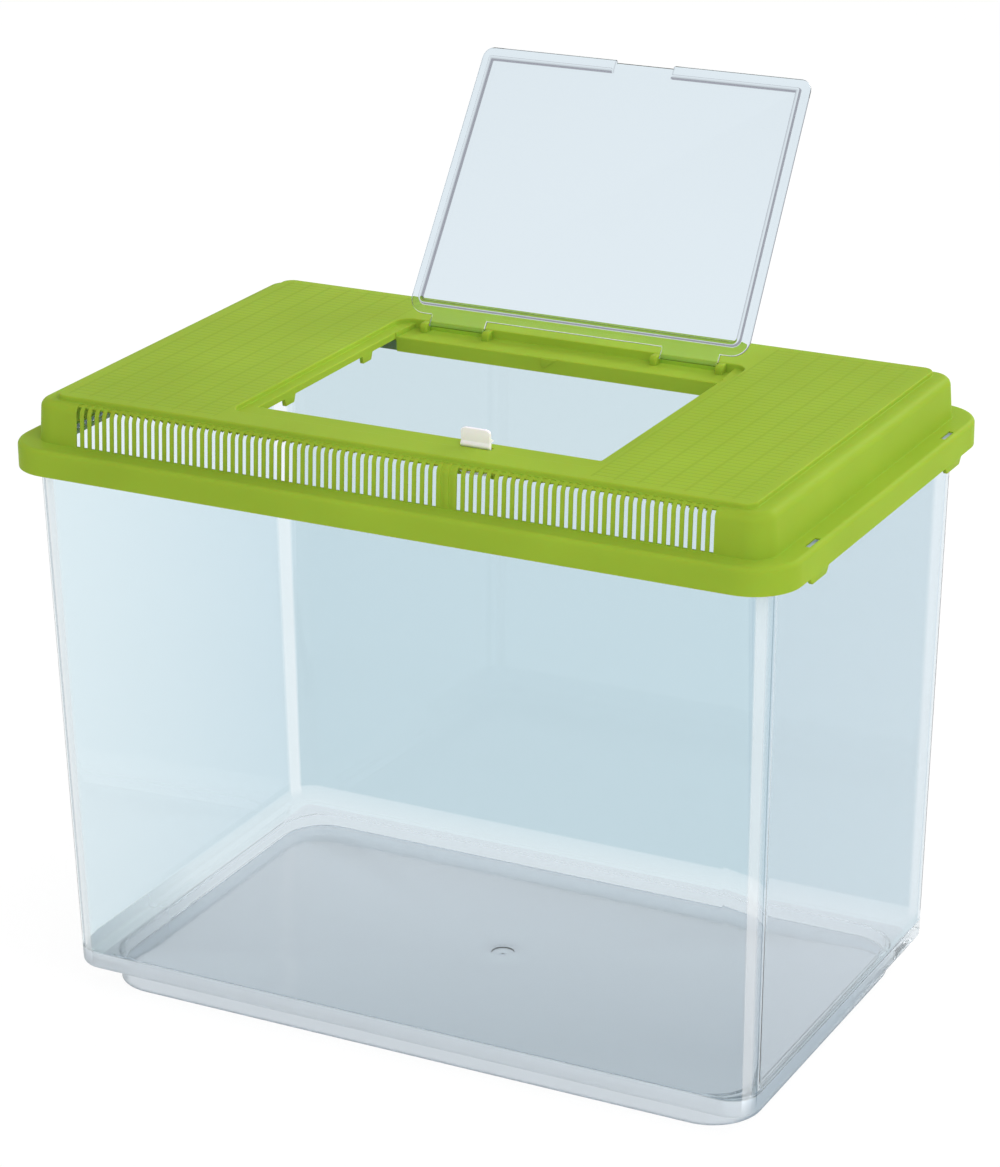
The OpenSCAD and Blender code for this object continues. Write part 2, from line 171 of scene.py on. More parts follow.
def stacked(points):
    # loops one above the other, joined by quads and closed by the first and the last loop
    n, columns = points.shape[:2]
    i = np.arange(columns)
    quads = gridQuads(n, columns).reshape(-1, 4)
    return points.reshape(-1, 3), [quads, i[None, ::-1], (i + (n - 1) * columns)[None, :]]


def newPiece(name, points, faces, materials, indices=None):
    # points in millimetres; unused points are left out
    used = np.zeros(len(points), bool)
    used[np.concatenate([np.ravel(f) for f in faces])] = True
    place = np.cumsum(used) - 1
    mesh = bpy.data.meshes.new(name)
    listed = [face for f in faces for face in place[np.asarray(f)].tolist()]
    mesh.from_pydata((points[used] * mm).tolist(), [], listed)
    for m in materials:
        mesh.materials.append(m)
    if indices is not None:
        mesh.polygons.foreach_set("material_index", np.concatenate(indices).astype(np.int32))
    made = bpy.data.objects.new(name, mesh)
    bpy.context.scene.collection.objects.link(made)
    return made


def marked(piece, shape, **marks):
    # values for all points of a grid, kept as attributes that the materials read
    for name, value in marks.items():
        mark = piece.data.attributes.new(name, "FLOAT", "POINT")
        mark.data.foreach_set("value", np.broadcast_to(value, shape).ravel().astype(np.float32))


def settled(piece, sharp):
    # the mesh that the modifiers give becomes the piece's own, smooth up to the sharp angle
    if len(piece.modifiers):
        graph = bpy.context.evaluated_depsgraph_get()
        mesh = bpy.data.meshes.new_from_object(piece.evaluated_get(graph))
        piece.modifiers.clear()
        piece.data = mesh
    mesh = piece.data
    mesh.polygons.foreach_set("use_smooth", np.ones(len(mesh.polygons), bool))
    mesh.set_sharp_from_angle(angle=np.radians(sharp))
    mesh.update()
    return piece


def carriedAlongX(outline, x0, x1):
    # a closed outline in the YZ plane, carried from x0 to x1 and closed by its two ends
    outline = np.asarray(outline, float)
    n = len(outline)
    ends = np.repeat(sorted([x0, x1]), n)[:, None]
    points = np.concatenate([ends, np.tile(outline, (2, 1))], 1)
    i = np.arange(n)
    j = (i + 1) % n
    sides = np.stack([i, j, j + n, i + n], 1)
    return points, [sides[:, ::-1], i[None, :], (i[::-1] + n)[None, :]]


def joined(parts):
    # several (points, faces) in one, their indices shifted
    points, faces, first = [], [], 0
    for p, fs in parts:
        points.append(p)
        faces += [np.asarray(f) + first for f in fs]
        first += len(p)
    return np.concatenate(points), faces


def turnedAboutX(profile, y, z, steps):
    # a profile of (x, radius) turned about an axis along X: y + r cos t, z + r sin t
    t = np.linspace(0, 2 * np.pi, steps, endpoint=False)
    x, r = np.asarray(profile, float).T
    points = np.stack(np.broadcast_arrays(x[:, None], y + r[:, None] * np.cos(t), z + r[:, None] * np.sin(t)),
                      -1)
    n = len(x)
    quads = gridQuads(n, steps).reshape(-1, 4)[:, ::-1]
    first, last = np.arange(steps), np.arange(steps) + (n - 1) * steps
    return points.reshape(-1, 3), [quads, first[None, :], last[None, ::-1]]


def rounded(piece, width, segments):
    bevel = piece.modifiers.new("rounding", "BEVEL")
    bevel.width, bevel.segments, bevel.limit_method = width * mm, segments, "ANGLE"
    bevel.angle_limit = np.radians(30)  # flatter edges stay as they are
    return piece


def outward(piece):
    # normals recalculated on small closed pieces
    bm = bmesh.new()
    bm.from_mesh(piece.data)
    bmesh.ops.remove_doubles(bm, verts=bm.verts, dist=1e-6)
    bmesh.ops.recalc_face_normals(bm, faces=bm.faces)
    bm.to_mesh(piece.data)
    bm.free()
    return piece


# ---- materials ----
# lime polypropylene, injection moulded: satin with a soft wide sheen, a faintly uneven skin,
# and on the two top fields fine rules in both directions, cut by a bump and darkened with painted shade
greenPlastic = {"colour": "#9ab739", "shade": "#92ae35", "line": "#86a22c", "roughness": 0.38, "ior": 1.49,
                "gloss": 0.01, "through": 0.3, "throughDepth": 3.0, "spread": 0.05, "patch": 70.0,
                "skin": 0.9, "skinHeight": 0.012, "ridgePitch": 4.19, "ridgeLine": 0.55, "crossPitch": 11.73,
                "crossStart": -108.4, "crossLine": 1.5, "crossShare": 0.5, "groove": 0.10, "fieldLow": 99.5,
                "fieldMiddle": 2.8, "fieldX": 180.4, "fieldY": 107.4, "fieldZ": 320.3}
noiseRange = {"From Min": 0.3, "From Max": 0.7}  # where nearly all values of a noise lie


def lineAt(tree, value, pitch, start, width):
    # distance from the nearest line of a row: |wrapped(value - start)|, then 1 on the line, 0 past its width
    shifted = node(tree, "Math", {0: value, 1: (pitch / 2 - start) * mm}, operation="ADD")
    wrapped = node(tree, "Math", {0: shifted, 1: pitch * mm}, operation="FLOORED_MODULO")
    centred = node(tree, "Math", {0: wrapped, 1: pitch / 2 * mm}, operation="SUBTRACT")
    away = node(tree, "Math", {0: centred}, operation="ABSOLUTE")
    return node(tree, "MapRange", {
        "Value": away, "From Min": 0.0, "From Max": width * mm,
        "To Min": 1.0, "To Max": 0.0}, interpolation_type="SMOOTHSTEP")


def mouldedGreen(g):
    made, tree, place = newMaterial("lime_moulded_polypropylene")
    axes = node(tree, "SeparateXYZ", {0: place})
    x, y, z = axes.outputs
    ridges = lineAt(tree, y, g["ridgePitch"], 0.0, g["ridgeLine"])
    crosses = lineAt(tree, x, g["crossPitch"], g["crossStart"], g["crossLine"])
    faint = node(tree, "Math", {0: crosses, 1: g["crossShare"]}, operation="MULTIPLY")
    lines = node(tree, "Math", {0: ridges, 1: faint}, operation="MAXIMUM")
    # the two fields beside the opening: inside fieldX and fieldY, past fieldLow, and only on the top
    fromMiddle = node(tree, "Math", {0: x, 1: g["fieldMiddle"] * mm}, operation="SUBTRACT")
    tests = [(node(tree, "Math", {0: fromMiddle}, operation="ABSOLUTE"), g["fieldLow"], "GREATER_THAN"),
             (node(tree, "Math", {0: x}, operation="ABSOLUTE"), g["fieldX"], "LESS_THAN"),
             (node(tree, "Math", {0: y}, operation="ABSOLUTE"), g["fieldY"], "LESS_THAN"),
             (z, g["fieldZ"], "GREATER_THAN")]
    field = lines
    for value, limit, test in tests:
        inside = node(tree, "Math", {0: value, 1: limit * mm}, operation=test)
        field = node(tree, "Math", {0: field, 1: inside}, operation="MULTIPLY")
    patches = node(tree, "TexNoise", {"Vector": place, "Scale": 1 / (g["patch"] * mm), "Detail": 2.0})
    skin = node(tree, "TexNoise", {
        "Vector": place, "Scale": 1 / (g["skin"] * mm), "Detail": 3.0, "Roughness": 0.6})
    tone = node(tree, "MapRange", {"Value": patches, **noiseRange})
    colour = node(tree, "Mix", {
        "Factor": tone, "A": linear(g["shade"]), "B": linear(g["colour"])}, data_type="RGBA")
    # painted shade along the fine rules: the colour turns towards the line colour there, besides the bump
    # that cuts them
    shadedRules = node(tree, "Mix", {"Factor": field, "A": colour, "B": linear(g["line"])}, data_type="RGBA")
    dulled = node(tree, "MapRange", {
        "Value": skin, **noiseRange, "To Min": g["roughness"] - g["spread"],
        "To Max": g["roughness"] + g["spread"]})
    grain = node(tree, "Bump", {"Strength": 0.6, "Distance": g["skinHeight"] * mm, "Height": skin})
    cut = node(tree, "Bump", {
        "Strength": 1.0, "Distance": g["groove"] * mm, "Height": field, "Normal": grain}, invert=True)
    shader = node(tree, "BsdfPrincipled", {
        "Base Color": shadedRules, "Roughness": dulled, "IOR": g["ior"], "Specular IOR Level": g["gloss"],
        "Subsurface Weight": g["through"], "Subsurface Scale": g["throughDepth"] * mm, "Normal": cut})
    node(tree, "OutputMaterial", {"Surface": shader})
    return made


# clear polystyrene, injection moulded: glass-like and faintly blue, each wall tinted apart with painted
# shade, darker at the back;
# painted highlights pale up the corners beside painted dark lines, and painted light makes the base pale and
# milky where the thick edge gathers light, with painted grey shade on its right side
clearPlastic = {"front": "#eef6f9", "back": "#cbdce3", "left": "#d8e6ed", "right": "#e0eaf0",
                "pale": "#f3f7f9", "low": "#e7eff6", "side": "#b9c7d2", "line": "#8396a2", "ior": 1.40,
                "edgeIor": 1.15, "gloss": 0.2, "endX": 187.0, "endY": 120.0, "wave": 55.0, "waveHeight": 0.02}
# the tank's floor: the same plastic, a little hazy from a brushed part of the mould, with painted shade:
# greyer towards the front right, lighter towards the back left
floorPlastic = {"front": "#c4c9d0", "back": "#dfe2e8", "reach": 100.0, "slant": 0.33, "clearShare": 0.95,
                "roughness": 0.12, "ior": 1.40, "haze": 25.0, "hazeHeight": 0.02}
# the trapdoor: thin polished polystyrene, clear and bright, with painted dark shade along the flanks of its
# rib and its edges
doorPlastic = {"colour": "#dde8ef", "root": "#eef6ee", "rib": "#6c6b76", "ior": 1.28, "barrelIor": 1.06,
               "wave": 40.0, "waveHeight": 0.01}
# the catch: milky polypropylene, satin, that lets a little light into it
milkyPlastic = {"colour": "#fffaff", "shade": "#fff6ff", "roughness": 0.35, "ior": 1.49, "patch": 6.0,
                "through": 0.1, "throughDepth": 2.0}


def clearWall(name, g, ior):
    made, tree, place = newMaterial(name)
    axes = node(tree, "SeparateXYZ", {0: place})
    depth = node(tree, "MapRange", {
        "Value": axes.outputs[1], "From Min": -g["endY"] * mm, "From Max": g["endY"] * mm})
    atRight = node(tree, "Math", {0: axes, 1: g["endX"] * mm}, operation="GREATER_THAN")
    atLeft = node(tree, "Math", {0: axes, 1: -g["endX"] * mm}, operation="LESS_THAN")
    names = ("milk", "pale", "low", "side", "line")
    milk, *marks = [node(tree, "Attribute", attribute_name=name) for name in names]
    wave = node(tree, "TexNoise", {"Vector": place, "Scale": 1 / (g["wave"] * mm), "Detail": 1.0})
    # painted shade: each wall has its own tint, lightest at the front, darker towards the back and the left
    # end
    far = node(tree, "Mix", {
        "Factor": atLeft, "A": linear(g["back"]), "B": linear(g["left"])}, data_type="RGBA")
    across = node(tree, "Mix", {"Factor": depth, "A": linear(g["front"]), "B": far}, data_type="RGBA")
    colour = node(tree, "Mix", {"Factor": atRight, "A": across, "B": linear(g["right"])}, data_type="RGBA")
    # painted light and shade from the tank's marks: pale highlights, the base's pale tint, grey shade on its
    # right side, dark corner lines
    for mark in marks:
        colour = node(tree, "Mix", {
            "Factor": mark.outputs["Fac"], "A": colour,
            "B": linear(g[mark.attribute_name])}, data_type="RGBA")
    clearShare = node(tree, "Math", {0: 1.0, 1: milk.outputs["Fac"]}, operation="SUBTRACT")
    bump = node(tree, "Bump", {"Strength": 0.5, "Distance": g["waveHeight"] * mm, "Height": wave})
    shader = node(tree, "BsdfPrincipled", {
        "Base Color": colour, "Roughness": 0.0, "IOR": ior, "Specular IOR Level": g["gloss"],
        "Transmission Weight": clearShare, "Normal": bump})
    node(tree, "OutputMaterial", {"Surface": shader})
    return made


def hazedFloor(g):
    made, tree, place = newMaterial("hazed_moulded_polystyrene")
    axes = node(tree, "SeparateXYZ", {0: place})
    slant = node(tree, "Math", {0: axes, 1: -g["slant"], 2: axes.outputs[1]}, operation="MULTIPLY_ADD")
    depth = node(tree, "MapRange", {
        "Value": slant, "From Min": -g["reach"] * mm, "From Max": g["reach"] * mm})
    # painted shade: the floor's colour darkens from the back left to the front right
    colour = node(tree, "Mix", {
        "Factor": depth, "A": linear(g["front"]), "B": linear(g["back"])}, data_type="RGBA")
    haze = node(tree, "TexNoise", {"Vector": place, "Scale": 1 / (g["haze"] * mm), "Detail": 2.0})
    bump = node(tree, "Bump", {"Strength": 0.5, "Distance": g["hazeHeight"] * mm, "Height": haze})
    shader = node(tree, "BsdfPrincipled", {
        "Base Color": colour, "Roughness": g["roughness"], "IOR": g["ior"],
        "Transmission Weight": g["clearShare"], "Normal": bump})
    node(tree, "OutputMaterial", {"Surface": shader})
    return made


def thinDoor(name, g, ior):
    made, tree, place = newMaterial(name)
    wave = node(tree, "TexNoise", {"Vector": place, "Scale": 1 / (g["wave"] * mm), "Detail": 2.0})
    root, rib = [node(tree, "Attribute", attribute_name=name) for name in ("root", "rib")]
    sheet = node(tree, "Mix", {
        "Factor": root.outputs["Fac"], "A": linear(g["colour"]), "B": linear(g["root"])}, data_type="RGBA")
    colour = node(tree, "Mix", {
        "Factor": rib.outputs["Fac"], "A": sheet, "B": linear(g["rib"])}, data_type="RGBA")
    bump = node(tree, "Bump", {"Strength": 0.5, "Distance": g["waveHeight"] * mm, "Height": wave})
    shader = node(tree, "BsdfPrincipled", {
        "Base Color": colour, "Roughness": 0.0, "IOR": ior, "Transmission Weight": 1.0, "Normal": bump})
    node(tree, "OutputMaterial", {"Surface": shader})
    return made


def milkyCatch(g):
    made, tree, place = newMaterial("milky_moulded_polypropylene")
    patches = node(tree, "TexNoise", {"Vector": place, "Scale": 1 / (g["patch"] * mm), "Detail": 2.0})
    colour = node(tree, "Mix", {
        "Factor": patches, "A": linear(g["shade"]), "B": linear(g["colour"])}, data_type="RGBA")
    shader = node(tree, "BsdfPrincipled", {
        "Base Color": colour, "Roughness": g["roughness"], "IOR": g["ior"], "Subsurface Weight": g["through"],
        "Subsurface Scale": g["throughDepth"] * mm})
    node(tree, "OutputMaterial", {"Surface": shader})
    return made


lime = mouldedGreen(greenPlastic)
clear = clearWall("clear_moulded_polystyrene", clearPlastic, clearPlastic["ior"])
clearEdge = clearWall("thick_edge_of_clear_polystyrene", clearPlastic, clearPlastic["edgeIor"])
clearFloor = hazedFloor(floorPlastic)
clearDoor = thinDoor("polished_moulded_polystyrene", doorPlastic, doorPlastic["ior"])
clearBarrel = thinDoor("thin_barrel_of_clear_polystyrene", doorPlastic, doorPlastic["barrelIor"])
milky = milkyCatch(milkyPlastic)
print("materials made")

# ---- lid ----
lid = {"coreX": 183.0, "coreY": 106.5, "rim": 23.5, "rimZ": 284.0, "ledgeZ": 297.3, "skirtEdge": 2.5,
       "crownFoot": 12.2, "crownTop": 11.1, "shoulder": 4.6, "crownZ": 318.1, "ledgeFillet": 0.3,
       "panelX": 184.9, "panelY": 111.9, "panelR": 6.0, "topZ": 320.5, "panelEdge": 0.8, "panelFoot": 0.5,
       "recess": (2.8, -10.2, 97.9, 85.75, 8.0), "recessEdge": 0.6, "recessZ": 318.1, "shelfZ": 315.8,
       "opening": (2.8, -11.15, 91.7, 68.35, 0.5), "openingEdge": 0.5,
       "frontWallZ": 311.0, "sideWallZ": 314.6, "backWallZ": 308.1, "wall": 2.2,
       "slots": 80, "slotPitch": 4.245, "slotWidth": 2.25, "slotFootZ": 297.75, "slotTop": 62.0,
       "grooveEdge": 0.2, "grooveDepth": 0.4, "thin": 0.8, "thinnest": 0.1, "closedSlots": (33.7, 3.2),
       "catchHole": (33.7, 8.1, -88.56, -85.3),
       "clipHoles": (-85.5, 82.5), "clipHole": (6.25, 18.2, 20.9), "support": 0.35, "sharp": 35}


def lidProfile(g):
    # rows of hx, hy, r, z at the front, z at the sides, z at the back, cx, cy, groove y, groove z
    def core(points, groove=0.0):
        d, z = np.asarray(points, float).T
        lean = np.zeros((len(d), 2)) + (groove if np.ndim(groove) else 0.0)
        return np.column_stack([g["coreX"] + d, g["coreY"] + d, d, z, z, z, 0 * d, 0 * d, lean])

    def loop(centre, out, down, depth):
        # the loop grown by out, lowered by down from the top, or by depth + down at the back
        cx, cy, hx, hy, r = centre
        z = g["topZ"] - np.asarray(depth) * down[0] - down[1]
        return [hx + out, hy + out, max(r + out, 0.3), *z, cx, cy, 0.0, 0.0]

    edge, ledge, fillet = g["skirtEdge"], g["ledgeZ"], g["ledgeFillet"]
    skirt = np.concatenate([[[g["rim"], g["rimZ"]]], arc(g["rim"] - edge, ledge - edge, edge, 0, 90, 7),
                            [[g["clipHole"][2], ledge], [g["clipHole"][1], ledge]],
                            arc(g["crownFoot"] + fillet, ledge + fillet, fillet, 270, 180, 4)])
    lean = (g["crownFoot"] - g["crownTop"]) / (g["crownZ"] - g["shoulder"] - g["ledgeZ"] - g["ledgeFillet"])
    foot = g["crownFoot"] - lean * (g["slotFootZ"] - g["ledgeZ"] - g["ledgeFillet"])
    outside = core(np.concatenate([skirt, [[foot, g["slotFootZ"]]]]))
    flank = core([[foot - 0.01, g["slotFootZ"] + 0.15]], np.array([g["grooveDepth"], 0.0]))
    centre = (g["crownTop"] - g["shoulder"], g["crownZ"] - g["shoulder"])
    turn = np.array([0, 12, 24, 36, 49, g["slotTop"], 71, 81, 90.0])
    across, upward = np.cos(np.radians(turn)), np.sin(np.radians(turn))
    bend = np.stack([centre[0] + g["shoulder"] * across, centre[1] + g["shoulder"] * upward], 1)
    shoulder = core(bend, g["grooveDepth"] * np.stack([across, -upward], 1))
    rows = np.concatenate([outside, flank, shoulder])
    panel = (0.0, 0.0, g["panelX"], g["panelY"], g["panelR"])
    rise = g["topZ"] - g["crownZ"]
    e, f = g["panelEdge"], g["panelFoot"]
    quarter, fine, level = quarterTurn(0, 30, 60, 90), quarterTurn(0, 22, 45, 68, 90), (0, 0, 0)
    border = [loop(panel, f * s, (0, rise - f * c), level) for s, c in quarter]
    border[0][8:] = [0.0, -g["grooveDepth"]]
    border += [loop(panel, -e * c, (0, e * s), level) for s, c in fine]
    e = g["recessEdge"]
    border += [loop(g["recess"], e * s, (0, e * c), level) for s, c in fine]
    step = (g["topZ"] - g["recessZ"], g["topZ"] - g["recessZ"], g["topZ"] - g["shelfZ"])
    border += [loop(g["recess"], -f * c, (1, -f * s), step) for s, c in quarter]
    # the floor's rows run straight from the recess to the opening; two of them bound the catch's hole
    edge = g["openingEdge"]
    first, last = np.array(border[-1]), np.array(loop(g["opening"], edge, (1, 0), step))
    yFirst, yLast = first[7] - first[1], last[7] - last[1]
    border += [first + (last - first) * (y - yFirst) / (yLast - yFirst) for y in g["catchHole"][2:]]
    border += [loop(g["opening"], edge * s, (1, edge * c), step) for s, c in quarter]
    bottom = loop(g["opening"], 0.0, (1, 0), step)
    bottom[3:6] = g["frontWallZ"], g["sideWallZ"], g["backWallZ"]
    return supported(np.concatenate([rows, border, [bottom]]), g["support"])


def lidShell(g):
    # the profile's loops on one path, whose front columns lie at the slots' edges
    def middle(v):
        return (v[1:] + v[:-1]) / 2

    def fromClip(y):
        return np.abs(y[:, None] - np.array(g["clipHoles"])).min(1)

    def flatAt(z):
        # the strips between two rows that both lie at height z
        return (np.abs(zf[1:] - z) < 1e-6) & (np.abs(zf[:-1] - z) < 1e-6)

    centres = g["slotPitch"] * (np.arange(g["slots"]) - (g["slots"] - 1) / 2)
    half = g["slotWidth"] / 2
    edges = centres[:, None] + np.array([-half, -half + g["grooveEdge"], half - g["grooveEdge"], half])
    span = g["recess"][2] - g["recess"][4]
    hole = (np.array([-1, 1]) * g["catchHole"][1] + g["catchHole"][0] - g["recess"][0]) / span
    front = np.sort(np.concatenate([edges.ravel() / g["coreX"], hole, [-0.998, -0.97, 0.97, 0.998]]))
    holeY = np.ravel([[y - g["clipHole"][0], y, y + g["clipHole"][0]] for y in g["clipHoles"]]) / g["coreY"]
    side = np.sort(np.concatenate([holeY, [-0.997, -0.6, -0.3, 0, 0.3, 0.6, 0.997]]))
    back = [-0.9985, -0.9, -0.6, -0.3, 0, 0.3, 0.6, 0.9, 0.9985]
    path = ringPath(front, side, back, np.linspace(0, 90, 13))
    rows = lidProfile(g)
    hx, hy, r, zf, zs, zb, cx, cy, gy, gz = rows.T
    kind = path[4].astype(int)
    points = ringPoints(path, hx, hy, r, np.stack([zf, zs, zb])[kind].T, cx, cy)
    # grooves sink the middle columns of each slot where the profile says so
    across = path[0] * g["coreX"]
    straight = (np.abs(path[2]) < 1e-9) & (path[1] < 0)
    fromSlot = np.abs(across[:, None] - centres).min(1)
    sunk = straight & (fromSlot < half - g["grooveEdge"] / 2)
    points[:, :, 1] += gy[:, None] * sunk
    points[:, :, 2] += gz[:, None] * sunk
    quads = gridQuads(len(rows), len(kind))
    nextC = np.roll(np.arange(len(kind)), -1)
    stripX = (across + across[nextC]) / 2
    slotOf = centres[np.abs(stripX[:, None] - centres).argmin(1)]
    openSlot = straight & straight[nextC] & (np.abs(stripX - slotOf) < half)
    openSlot &= np.abs(slotOf - g["closedSlots"][0]) > g["closedSlots"][1]
    centreZ = g["crownZ"] - g["shoulder"] + g["shoulder"] * np.sin(np.radians(g["slotTop"]))
    wallRows = middle(zf)
    onCrown = (hx[1:] < g["coreX"] + g["crownFoot"] + 0.1) & (hx[1:] > g["panelX"] + 1)
    gone = (onCrown & (wallRows > g["slotFootZ"]) & (wallRows < centreZ))[:, None] & openSlot[None, :]
    # moulding holes over the clips, and the catch's hole in the recess
    halfHole, near, far = g["clipHole"]
    out = middle(hx) - g["coreX"]
    inHole = flatAt(g["ledgeZ"]) & (out > near) & (out < far)
    along = (path[1] + path[1][nextC]) / 2 * g["coreY"]
    atSide = np.abs(path[0]) == 1
    beside = atSide & (fromClip(along) < halfHole)
    gone |= inHole[:, None] & (beside & (path[3] == path[3][nextC]))[None, :]
    rowY = middle(cy - hy)
    inCatch = flatAt(g["recessZ"]) & (hx[1:] < g["recess"][2])
    inCatch &= (rowY > g["catchHole"][2]) & (rowY < g["catchHole"][3])
    atCatch = straight & straight[nextC] & (path[0] >= hole[0] - 1e-9) & (path[0][nextC] <= hole[1] + 1e-9)
    gone |= inCatch[:, None] & atCatch[None, :]
    piece = newPiece("lid_shell", points.reshape(-1, 3), [quads[~gone]], [lime])
    # the wall is thin between the slots and round the moulding holes,
    # and thinnest where the grooves end at the panel
    crown = (zf > g["slotFootZ"] - 0.1) & (hx > g["panelX"] + 1)
    atHole = (np.abs(zf - g["ledgeZ"]) < 1e-6) & (np.abs(hx - g["coreX"] - (near + far) / 2) < far - near)
    nearHole = atSide & (fromClip(path[1] * g["coreY"]) < halfHole + 0.1)
    thin = (crown[:, None] & straight[None, :]) | (atHole[:, None] & nearHole[None, :])
    used = np.unique(quads[~gone])
    grooveEnd = (np.abs(hx - g["panelX"] - g["panelFoot"]) < 0.1) & (zf < g["crownZ"] + 0.05)
    grooveEnd = grooveEnd[:, None] & straight[None, :]
    thick = piece.vertex_groups.new(name="thick")
    thick.add(np.flatnonzero(~(thin | grooveEnd).ravel()[used]).tolist(), 1.0, "REPLACE")
    thinShare = (g["thin"] - g["thinnest"]) / (g["wall"] - g["thinnest"])
    thick.add(np.flatnonzero((thin & ~grooveEnd).ravel()[used]).tolist(), thinShare, "REPLACE")
    solid = piece.modifiers.new("wall", "SOLIDIFY")
    solid.thickness, solid.offset, solid.use_even_offset = g["wall"] * mm, -1.0, True
    solid.vertex_group, solid.thickness_vertex_group = "thick", g["thinnest"] / g["wall"]
    return settled(piece, g["sharp"])


lidPiece = lidShell(lid)
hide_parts("lid")

# small forms of the lid: clips under the short sides, hooks and a gusset at the opening, lugs and hangers
lidForms = {"clip": (22.0, 3.0, 3.5, 0.8), "clipBarb": 12.5, "hookYs": (-54.5, 22.7),
            "hook": (11.0, 1.0, 2.0, 4.0), "gusset": (-5.1, 8.5, 4.5, 2.0, 0.8), "tongueX": 65.2,
            "tongueWidth": 31.5, "doorX": 3.4, "gap": 0.3, "lugWidth": 3.7, "lugY": (69.5, 75.7),
            "lugZ": (315.3, 320.3), "hingeY": 71.6, "noseR": 2.1, "hangerWidth": 2.0, "hangerR": 2.4,
            "hangerSunk": 1.2, "catch": (33.7, -87.45, 306.0, 15.5)}


def clipParts(g, k):
    # a tapering tab in the plane of the skirt, with a thicker barb in its middle, at each of four places
    length, slant, drop, reach = k["clip"]
    outerX, parts = g["coreX"] + g["rim"], []
    for y in g["clipHoles"]:
        left, right, rim, low = y - length / 2, y + length / 2, g["rimZ"], g["rimZ"] - drop
        tab = [[left, rim + 1], [left, rim], [left + slant, low], [right - slant, low], [right, rim],
               [right, rim + 1]]
        half = k["clipBarb"] / 2
        barb = [[y - half, rim + 2], [y - half, low + 0.3], [y + half, low + 0.3], [y + half, rim + 2]]
        for sign in (1, -1):
            parts.append(carriedAlongX(tab, sign * (outerX - g["wall"]), sign * (outerX - 0.02)))
            parts.append(carriedAlongX(barb, sign * (outerX - g["wall"] - reach),
                                       sign * (outerX - g["wall"] + 0.5)))
    return joined(parts)


def openingParts(g, k):
    # hooks hang from the opening's side walls, a thin gusset stands on its back wall
    cx, cy, hx, hy, _ = g["opening"]
    length, slant, end, drop = k["hook"]
    low, parts = g["sideWallZ"], []
    for y in k["hookYs"]:
        hook = [[y, low + 1], [y + slant, low - drop], [y + length - end, low - drop], [y + length, low + 1]]
        parts.append(carriedAlongX(hook, cx - hx - g["wall"] + 0.05, cx - hx - 0.02))
        parts.append(carriedAlongX(hook, cx + hx + 0.02, cx + hx + g["wall"] - 0.05))
    x, width, height, foot, thick = k["gusset"]
    top, wallY = g["shelfZ"] - 0.3, cy + hy
    corners = np.array([[x, top], [x, top - height], [x + foot, top - height], [x + width, top]])
    n = len(corners)
    points = np.array([[p[0], y, p[1]] for y in (wallY - thick, wallY + 0.5) for p in corners])
    i = np.arange(n)
    j = (i + 1) % n
    parts.append((points, [np.stack([i, j, j + n, i + n], 1), i[None, ::-1], (i + n)[None, :]]))
    return joined(parts)


def hingeParts(g, k):
    # a lug with a rounded nose at each side of each tongue: a bar whose top follows the bore
    nose = arc(k["hingeY"], k["lugZ"][1] - k["noseR"], k["noseR"], 180, 90, 5)
    outline = np.concatenate([[[k["lugY"][1], k["lugZ"][0]], [k["lugY"][0], k["lugZ"][0]]], nose,
                              [[k["lugY"][1], k["lugZ"][1]]]])
    inner = k["tongueWidth"] / 2 + k["gap"]
    parts = []
    for side in (-1, 1):
        for end in (-1, 1):
            x = k["doorX"] + side * k["tongueX"]
            parts.append(carriedAlongX(outline, x + end * inner, x + end * (inner + k["lugWidth"])))
    return joined(parts)


def hangerParts(g, k):
    # a plate with a round foot at each side of the catch
    x, y, z, width = k["catch"]
    r, top = k["hangerR"], g["recessZ"] - k["hangerSunk"]
    outline = np.concatenate([[[y + r, top], [y - r, top]], arc(y, z, r, 180, 360, 12)])
    near = width / 2 + k["gap"]
    return joined([carriedAlongX(outline, x + s * near, x + s * (near + k["hangerWidth"])) for s in (-1, 1)])


for name, form, width in (("lid_clips", clipParts, 0.3), ("lid_opening_hooks", openingParts, 0.25),
                          ("lid_hinge_lugs", hingeParts, 0.35), ("lid_catch_hangers", hangerParts, 0.3)):
    piece = newPiece(name, *form(lid, lidForms), [lime])
    piece = settled(rounded(outward(piece), width, 2), lid["sharp"])
    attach(piece, "lid")
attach(lidPiece, "lid")
print("lid made:", len(lidPiece.data.polygons), "faces")

# ---- tank ----
tank = {"top": (195.8, 123.4, 18.0, 294.8), "base": (189.2, 116.8, 15.0, 16.4), "wall": 2.5,
        "flange": (203.2, 126.7, 20.2), "flangeZ": 291.8, "flangeEdge": 0.5, "baseZ": 14.0, "baseEdge": 2.4,
        "foot": (179.6, 104.6, 26.0), "footWall": 2.8, "footEdge": 0.7, "fillet": 8.0, "ledgeZ": 16.5,
        "floorZ": 10.5, "underZ": 8.0, "gate": (6.0, 0.4), "stops": (120.0, 220.0), "round": 1.0,
        "wellTop": 0.6, "wellFoot": 1.6, "support": 0.6, "sharp": 35}

# how strongly the tank's painted marks show; highlight bands (painted highlights) and lines (painted dark
# lines) start, peak and end at angles from a long face's normal, in the quarter where the signs of x and y
# are (sx, sy); the base's painted haze leans to the front and the right
tankMarks = {"milk": {"band": 0.34, "low": 0.7, "rim": 0.6}, "insidePale": 0.45, "hazeTo": (23.2, 24.5),
             "highlightBands": {(1, -1): (41, 44, 60, 72), (-1, -1): (8, 11, 30, 34),
                       (-1, 1): (50, 54, 86, 90), (1, 1): (10, 20, 44, 48)},
             "lines": {(1, -1): (73, 74.3, 75.2, 76.5), (-1, -1): (44, 46, 56, 58)},
             "lean": (0.46, -0.89), "sideFrom": 0.75}


